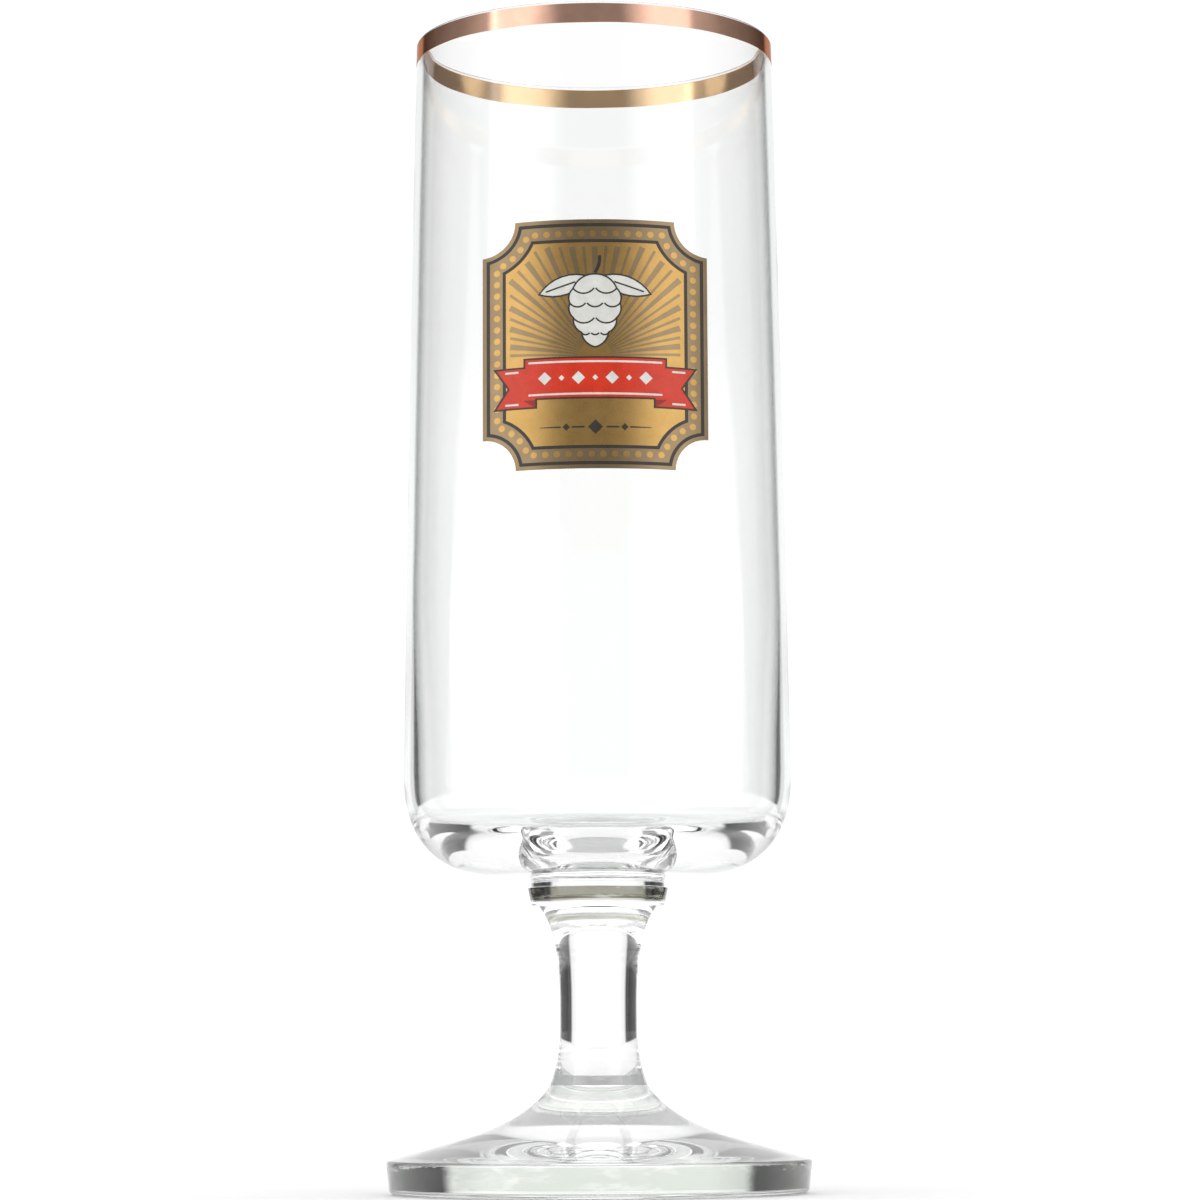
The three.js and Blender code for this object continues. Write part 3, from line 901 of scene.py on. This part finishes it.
def plaque_ring(bm, badge, inset, width):
    """A line of a given width that runs round the plaque."""
    edges = plaque_edges(bm, badge, inset) + plaque_edges(bm, badge, inset + width)
    bmesh.ops.bridge_loops(bm, edges=edges)


def even_places(loop, pitch):
    """Points at an even spacing along a closed loop."""
    sides = list(zip(loop, loop[1:] + loop[:1]))
    around = sum((b - a).length for a, b in sides)
    step = around / round(around / pitch)
    places = []
    ahead = 0.0
    for a, b in sides:
        side = (b - a).length
        while ahead < side - PEN_JOIN:
            places.append(a.lerp(b, ahead / side))
            ahead += step
        ahead -= side
    return places


def shape_lines(bm, badge):
    """Leaves only a fine line inside the edge of each filled shape."""
    inner = bm.faces[:]
    bmesh.ops.inset_individual(bm, faces=inner, thickness=badge.fine_line, use_even_offset=True)
    bmesh.ops.delete(bm, geom=inner, context="FACES")


def strip_cuts(bm, axis, step):
    """Slices a drawing at even steps, so that it can follow the wall."""
    values = [v.co[axis] for v in bm.verts]
    low, high = min(values), max(values)
    normal = Vector((0, 0, 0))
    normal[axis] = 1
    count = int((high - low) / step)
    for place in even_steps(low, high, count + 1)[1:-1]:
        bmesh.ops.bisect_plane(
            bm, geom=bm.verts[:] + bm.edges[:] + bm.faces[:], dist=MERGE,
            plane_co=normal * place, plane_no=normal,
        )


def film_piece(name, layer, film, node, *steps):
    """Draws a film in steps, thickens it and lays it on the bowl's front.
    Layer 0 is fused into the glass."""
    settings = bpy.context.scene.footed_glass
    badge = settings.badge
    bm = bmesh.new()
    for draw in steps:
        draw(bm, badge)
    outer = badge.film + layer * badge.layer
    depth = outer + (badge.film if layer == 0 else -badge.film / 2)
    for face in bm.faces:
        face.normal_update()
        if face.normal.y > 0:
            face.normal_flip()
    bmesh.ops.triangulate(bm, faces=bm.faces[:])
    bmesh.ops.solidify(bm, geom=bm.faces[:], thickness=depth)
    strip_cuts(bm, X_AXIS, STRIP)
    strip_cuts(bm, Z_AXIS, ROW)
    front = min(v.co.y for v in bm.verts)
    for vert in bm.verts:
        level = BADGE_LEVEL + vert.co.z
        radius = wall_radius(settings.bowl, level) + outer - (vert.co.y - front)
        vert.co = Vector((vert.co.x, -sqrt(radius * radius - vert.co.x * vert.co.x), level))
    bmesh.ops.remove_doubles(bm, verts=bm.verts, dist=MERGE)
    bmesh.ops.recalc_face_normals(bm, faces=bm.faces)
    make, roughness, slot = FILMS[film]
    material = made_once(f"{film}_film", make, getattr(badge, film), roughness)
    finish_piece(bm, name, [material], node)


def frame_line(bm, badge):
    """The line round the plaque."""
    plaque_ring(bm, badge, badge.line_inset, badge.line_width)


def inner_line(bm, badge):
    """The line over the field's edge."""
    plaque_ring(bm, badge, badge.border - badge.fine_line, 2 * badge.fine_line)


def gold_field(bm, badge):
    """The field inside the border."""
    plaque_face(bm, badge, badge.border)


def border_beads(bm, badge):
    """Beads along the middle of the border."""
    path = bmesh.new()
    middle = (badge.line_inset + badge.line_width + badge.border) / 2
    loop = [vert.co.copy() for vert in plaque_face(path, badge, middle).verts]
    path.free()
    upright = Matrix.Rotation(pi / 2, 4, "X")
    for place in even_places(loop, badge.bead_pitch):
        bmesh.ops.create_circle(
            bm, cap_ends=True, segments=BEAD_SIDES, radius=badge.bead_radius,
            matrix=Matrix.Translation(place) @ upright,
        )


def ribbon_levels(badge):
    """The ribbon's lower and upper edge."""
    return -badge.ribbon_drop - badge.ribbon_half_height, -badge.ribbon_drop + badge.ribbon_half_height


def ribbon_ends(badge):
    """Where the ribbon's front band and its tails end."""
    end = BADGE_HALF_WIDTH - badge.ribbon_inset
    return end - badge.ribbon_tail, end


def ribbon(bm, badge):
    """The ribbon: a front band and two notched tails that hang a little lower."""
    low, high = ribbon_levels(badge)
    band, end = ribbon_ends(badge)
    drop = badge.tail_drop
    corner_shape(bm, mirrored([
        at(band, high),
        at(band, high - drop),
        at(end, high - drop),
        at(end - badge.ribbon_notch, (low + high) / 2 - drop),
        at(end, low - drop),
        at(band - badge.ribbon_fold, low - drop),
        at(band - badge.ribbon_fold, low),
    ]))


def hop_level(badge, share):
    """Height in the hop cone, from 0 at its tip to 1 at its stalk."""
    return ribbon_levels(badge)[1] + badge.hop_above_ribbon + badge.hop_height * share


def hop_half(badge, share):
    """Half width of the hop cone at a share of its height."""
    return badge.hop_half_width * sqrt(max(sin(pi * share ** badge.hop_taper), 0))


def hop_cone(bm, badge):
    """The cone: scales bulge from both sides of a bud that narrows to its tip."""
    shares = [i / badge.hop_scales for i in range(badge.hop_scales + 1)]
    right = [at(hop_half(badge, share), hop_level(badge, share)) for share in shares]
    left = [at(-point.x, point.z) for point in reversed(right[1:-1])]
    path = [*right, *left, right[0]]
    pen_shape(bm, path[0], [(point, badge.scale_bulge) for point in path[1:]])


def leaf_ends(badge, side):
    """Root and tip of a leaf. The root lies under the cone."""
    level = hop_level(badge, 1) - badge.leaf_root
    return at(side * badge.leaf_root, level), at(side * badge.leaf_reach, level - badge.leaf_drop)


def hop_leaves(bm, badge):
    """Two pointed leaves that spring from the cone's top."""
    for side in (1, -1):
        root, tip = leaf_ends(badge, side)
        pen_shape(bm, root, [(tip, badge.leaf_bulge), (root, badge.leaf_bulge)])


def ray_length(badge, origin, along):
    """How far a ray runs from its origin before it leaves the field."""
    edge = badge.border + badge.ray_margin
    reach = (BADGE_HALF_HEIGHT - edge - origin.z) / max(along.z, MERGE)
    if along.x:
        reach = min(reach, (BADGE_HALF_WIDTH - edge) / abs(along.x))
    corner = at(BADGE_HALF_WIDTH * (1 if along.x > 0 else -1), BADGE_HALF_HEIGHT) - origin
    nearest = along.dot(corner)
    inside = (badge.scoop + edge) ** 2 - corner.length_squared + nearest * nearest
    if inside > 0:
        reach = min(reach, nearest - sqrt(inside))
    return reach


def field_rays(bm, badge):
    """Rays that rise from behind the ribbon, wide and slim in turn."""
    origin = at(0, ribbon_levels(badge)[1])
    for i in range(badge.ray_count):
        turn = pi * (i + 0.5) / badge.ray_count
        along = at(cos(turn), sin(turn))
        reach = ray_length(badge, origin, along)
        width = badge.ray_width if i % 2 else badge.ray_width / 2
        pen_stroke(
            bm, origin + along * badge.ray_start, origin + along * reach, badge.fine_line / 2,
            end_width=width,
        )


def lozenge(bm, x, z, half):
    """A filled lozenge."""
    corner_shape(bm, [at(x - half, z), at(x, z + half), at(x + half, z), at(x, z - half)])


def leaf_ribs(bm, badge):
    """The middle rib of each leaf."""
    for side in (1, -1):
        root, tip = leaf_ends(badge, side)
        pen_stroke(bm, root.lerp(tip, badge.rib_start), root.lerp(tip, badge.rib_end), badge.fine_line)


def hop_strokes(bm, badge):
    """Scale lines and the stalk."""
    line = badge.fine_line
    for row in range(1, badge.hop_scales):
        share = row / badge.hop_scales
        half, level = hop_half(badge, share), hop_level(badge, share)
        places = even_steps(-half, half, SCALES_IN_TURN[row % 2])
        for a, b in zip(places, places[1:]):
            pen_stroke(bm, at(a + line / 2, level), at(b - line / 2, level), line, badge.scale_line_bulge)
    top = at(0, hop_level(badge, 1) + line / 2)
    end = top + at(badge.stalk_lean, badge.stalk_height)
    pen_stroke(bm, top, end, badge.stalk_width, badge.stalk_bulge)


def field_ornament(bm, badge):
    """Lozenges and short lines under the ribbon."""
    level = -badge.ornament_drop
    line, pitch = badge.fine_line, badge.ornament_pitch
    big, small = badge.lozenge, badge.lozenge / 2
    big_gap, small_gap = ORNAMENT_GAP * big, ORNAMENT_GAP * small
    lozenge(bm, 0, level, big)
    for side in (1, -1):
        lozenge(bm, side * pitch, level, small)
        pen_stroke(bm, at(side * big_gap, level), at(side * (pitch - small_gap), level), line)
        start, end = [at(side * place, level) for place in (pitch + small_gap, badge.ornament_end)]
        pen_stroke(bm, start, end, line, end_width=line / LINE_TAPER)


def ribbon_stripes(bm, badge):
    """Pale lines along the ribbon's edges, with a row of lozenges between them."""
    low, high = ribbon_levels(badge)
    band, end = ribbon_ends(badge)
    inset = badge.stripe_inset
    tail_start, tail_end = band + inset, end - inset - badge.ribbon_notch / 2
    for level in (low + inset, high - inset):
        pen_stroke(bm, at(inset - band, level), at(band - inset, level), badge.stripe_width)
        for side in (1, -1):
            tail = level - badge.tail_drop
            pen_stroke(bm, at(side * tail_start, tail), at(side * tail_end, tail), badge.stripe_width)
    middle = (low + high) / 2
    for i, place in enumerate(even_steps(-badge.row_reach, badge.row_reach, badge.row_count - 1)):
        lozenge(bm, place, middle, badge.lozenge * LOZENGES_IN_TURN[i % 2])


def ribbon_folds(bm, badge):
    """The shaded folds where the tails pass behind the band."""
    low = ribbon_levels(badge)[0]
    tail = low - badge.tail_drop
    band = ribbon_ends(badge)[0]
    fold = band - badge.ribbon_fold
    for side in (1, -1):
        corner_shape(bm, [at(side * fold, low), at(side * band, low), at(side * fold, tail)])


class FOOTED_GLASS_OT_plaque(Operator):
    """Make the badge's plaque, frame lines, beads, gold field and rays"""

    bl_idname = "footed_glass.plaque"
    bl_label = "Plaque"

    def execute(self, context):
        film_piece("badge_plaque", 0, "bronze", "badge_ground", plaque_face)
        film_piece("badge_outer_line", 1, "dark", "badge_frame_line", frame_line)
        film_piece("badge_gold_field", 1, "gold", "badge_field", gold_field)
        film_piece("badge_beads", 1, "gold", None, border_beads)
        film_piece("badge_rays", 2, "bronze", None, field_rays)
        film_piece("badge_inner_line", 2, "dark", None, inner_line)
        return {"FINISHED"}


class FOOTED_GLASS_OT_emblem(Operator):
    """Make the badge's ribbon, hop cone and fine lines"""

    bl_idname = "footed_glass.emblem"
    bl_label = "Ribbon and hop"

    def execute(self, context):
        film_piece("badge_red_ribbon", 3, "red", "badge_ribbon", ribbon)
        film_piece("badge_white_leaves", 3, "white", None, hop_leaves)
        film_piece("badge_leaf_lines", 4, "dark", None, hop_leaves, shape_lines, leaf_ribs)
        film_piece("badge_white_hop", 5, "white", "badge_hop", hop_cone)
        film_piece(
            "badge_fine_lines", 6, "dark", None, hop_cone, ribbon, shape_lines, hop_strokes, field_ornament,
        )
        film_piece("badge_ribbon_stripes", 4, "white", None, ribbon_stripes)
        film_piece("badge_ribbon_folds", 4, "deep_red", None, ribbon_folds)
        return {"FINISHED"}


# Stage

def light_ramp(stage, high):
    """Levels round the studio, low down or higher up, by angle from the front: -180 to 180 degrees."""
    gap_level = stage.high_gap_level if high else stage.gap_level
    dark_level = stage.high_dark_level if high else stage.dark_level
    backdrop_level = stage.high_backdrop_level if high else stage.backdrop_level
    soft = degrees(stage.edge)
    backdrop_fade = degrees(stage.backdrop_fade)
    fade = degrees(stage.box_fade) / 2
    tube = degrees(stage.tube_width) / 2

    def side(near, far, gap, back, edge_level):
        near, far, gap, back = [degrees(turn) for turn in (near, far, gap, back)]
        return [
            (near - fade, stage.front_level),
            (near + fade, stage.box_level),
            (far - 2 * tube, stage.box_level),
            (far - tube, edge_level),
            (far + tube, edge_level),
            (far + 3 * tube, stage.wall_level),
            (gap, gap_level),
            (back - soft, dark_level),
            (back + soft, stage.backdrop_edge * backdrop_level),
            (back + backdrop_fade, backdrop_level),
        ]

    left = side(stage.left_near, stage.left_far, stage.left_gap, stage.left_back, stage.tube_level)
    right = side(stage.right_near, stage.right_far, stage.right_gap, stage.right_back, stage.box_level)
    return [(-turn, level) for turn, level in reversed(left)] + right


def grey(level):
    """A neutral colour of a given brightness."""
    return (level, level, level, 1)


def studio_ring(tree, share, levels):
    """Light round the glass, from levels by angle."""
    ramp = add_node(tree, "ShaderNodeValToRGB", {0: share})
    stops = ramp.color_ramp.elements
    while len(stops) < len(levels):
        stops.new(0.5)
    for stop, (degree, level) in zip(stops, levels):
        stop.position = 0.5 + degree / 360
        stop.color = grey(level)
    return ramp.outputs[0]


def studio_world(stage):
    """A soft studio: a white backdrop, two softboxes, dark gaps, side windows and an overhead light.
    It is white below the table too."""
    world = bpy.data.worlds.new("studio")
    world.use_nodes = True
    tree = world.node_tree
    direction = add_node(tree, "ShaderNodeTexCoord").outputs["Generated"]
    across, along, up = add_node(tree, "ShaderNodeSeparateXYZ", {0: direction}).outputs
    forward = add_node(tree, "ShaderNodeMath", {0: along, 1: -1.0}, operation="MULTIPLY").outputs[0]
    turn = add_node(tree, "ShaderNodeMath", {0: across, 1: forward}, operation="ARCTAN2").outputs[0]
    share = span(tree, turn, -pi, pi)
    low, high = [studio_ring(tree, share, light_ramp(stage, up_there)) for up_there in (False, True)]
    sideways = add_node(tree, "ShaderNodeMath", {0: across}, operation="ABSOLUTE").outputs[0]
    window = smooth_step(tree, sideways, cos(stage.window_radius + stage.edge), cos(stage.window_radius))
    above = smooth_step(tree, up, sin(stage.dark_top), sin(stage.ceiling_base))
    below = smooth_step(tree, up, -sin(stage.dark_base), -sin(stage.dark_base + stage.edge))
    overhead = smooth_step(tree, up, cos(stage.top_radius + stage.top_edge), cos(stage.top_radius))
    raised = smooth_step(tree, up, sin(stage.high_start), sin(stage.high_end))
    room = blend_colours(tree, raised, low, high)
    for place, level in (
        (window, stage.window_level), (above, stage.ceiling_level), (below, stage.window_level),
        (overhead, stage.top_level),
    ):
        room = blend_colours(tree, place, room, grey(level))
    tree.links.new(room, tree.nodes["Background"].inputs["Color"])
    return world


def pale_floor(tree, sockets, tint):
    """A matt pale surface with a faint mottle."""
    tree.links.new(mottled(tree, FLOOR_MOTTLE, tint, FLOOR_SHADES), sockets["Base Color"])
    sockets["Roughness"].default_value = FLOOR_ROUGHNESS
    sockets["Specular IOR Level"].default_value = 0


def table_top(stage):
    """The round table top, just below the foot."""
    bm = bmesh.new()
    bmesh.ops.create_circle(bm, cap_ends=True, segments=SPIN_STEPS, radius=stage.floor_radius)
    bmesh.ops.translate(bm, verts=bm.verts, vec=(0, 0, -FLOOR_DROP))
    floor = mesh_object(bm, "floor", [made_once("pale_floor", pale_floor, stage.floor_colour)])


def front_camera(stage):
    """The camera, low in front of the glass."""
    data = bpy.data.cameras.new("camera")
    data.sensor_width = SENSOR_WIDTH
    data.lens = stage.camera_lens
    data.clip_start = CLIP_START
    camera = bpy.data.objects.new("camera", data)
    camera.location = (stage.camera_side, -stage.camera_distance, stage.camera_height)
    look = Euler((pi / 2 + stage.camera_pitch, 0, 0)).to_quaternion()
    camera.rotation_euler = (look @ Quaternion((0, 0, 1), stage.camera_roll)).to_euler()
    bpy.context.scene.collection.objects.link(camera)
    bpy.context.scene.camera = camera


class FOOTED_GLASS_OT_stage(Operator):
    """Make the floor, the studio light and the camera"""

    bl_idname = "footed_glass.stage"
    bl_label = "Stage"

    def execute(self, context):
        stage = context.scene.footed_glass.stage
        table_top(stage)
        context.scene.world = studio_world(stage)
        front_camera(stage)
        context.scene.view_settings.view_transform = "Standard"
        context.scene.cycles.max_bounces = GLASS_BOUNCES
        context.scene.cycles.transmission_bounces = GLASS_BOUNCES
        context.scene.cycles.glossy_bounces = GLOSSY_BOUNCES
        return {"FINISHED"}


OPERATORS = (
    FOOTED_GLASS_OT_stage,
    FOOTED_GLASS_OT_foot,
    FOOTED_GLASS_OT_stem,
    FOOTED_GLASS_OT_collar,
    FOOTED_GLASS_OT_bowl,
    FOOTED_GLASS_OT_lip_band,
    FOOTED_GLASS_OT_plaque,
    FOOTED_GLASS_OT_emblem,
)


class FOOTED_GLASS_PT_panel(Panel):
    """Lists the steps that make the footed glass"""

    bl_idname = "FOOTED_GLASS_PT_panel"
    bl_label = "Footed Glass"
    bl_space_type = "VIEW_3D"
    bl_region_type = "UI"
    bl_category = "Footed Glass"

    def draw(self, context):
        for operator in OPERATORS:
            self.layout.operator(operator.bl_idname)


GROUPS = (
    FootShape, StemShape, CollarShape, BowlShape, GlassFinish, BandFinish, BadgeDesign, StageSettings,
    FootedGlassSettings,
)
CLASSES = (*GROUPS, *OPERATORS, FOOTED_GLASS_PT_panel)


def register():
    for cls in CLASSES:
        bpy.utils.register_class(cls)
    bpy.types.Scene.footed_glass = PointerProperty(type=FootedGlassSettings)


def unregister():
    del bpy.types.Scene.footed_glass
    for cls in reversed(CLASSES):
        bpy.utils.unregister_class(cls)


def main():
    register()
    bpy.ops.footed_glass.stage()
    bpy.ops.footed_glass.foot()
    bpy.ops.footed_glass.stem()
    bpy.ops.footed_glass.collar()
    bpy.ops.footed_glass.bowl()
    bpy.ops.footed_glass.lip_band()
    bpy.ops.footed_glass.plaque()
    bpy.ops.footed_glass.emblem()


if __name__ == "__main__":
    main()
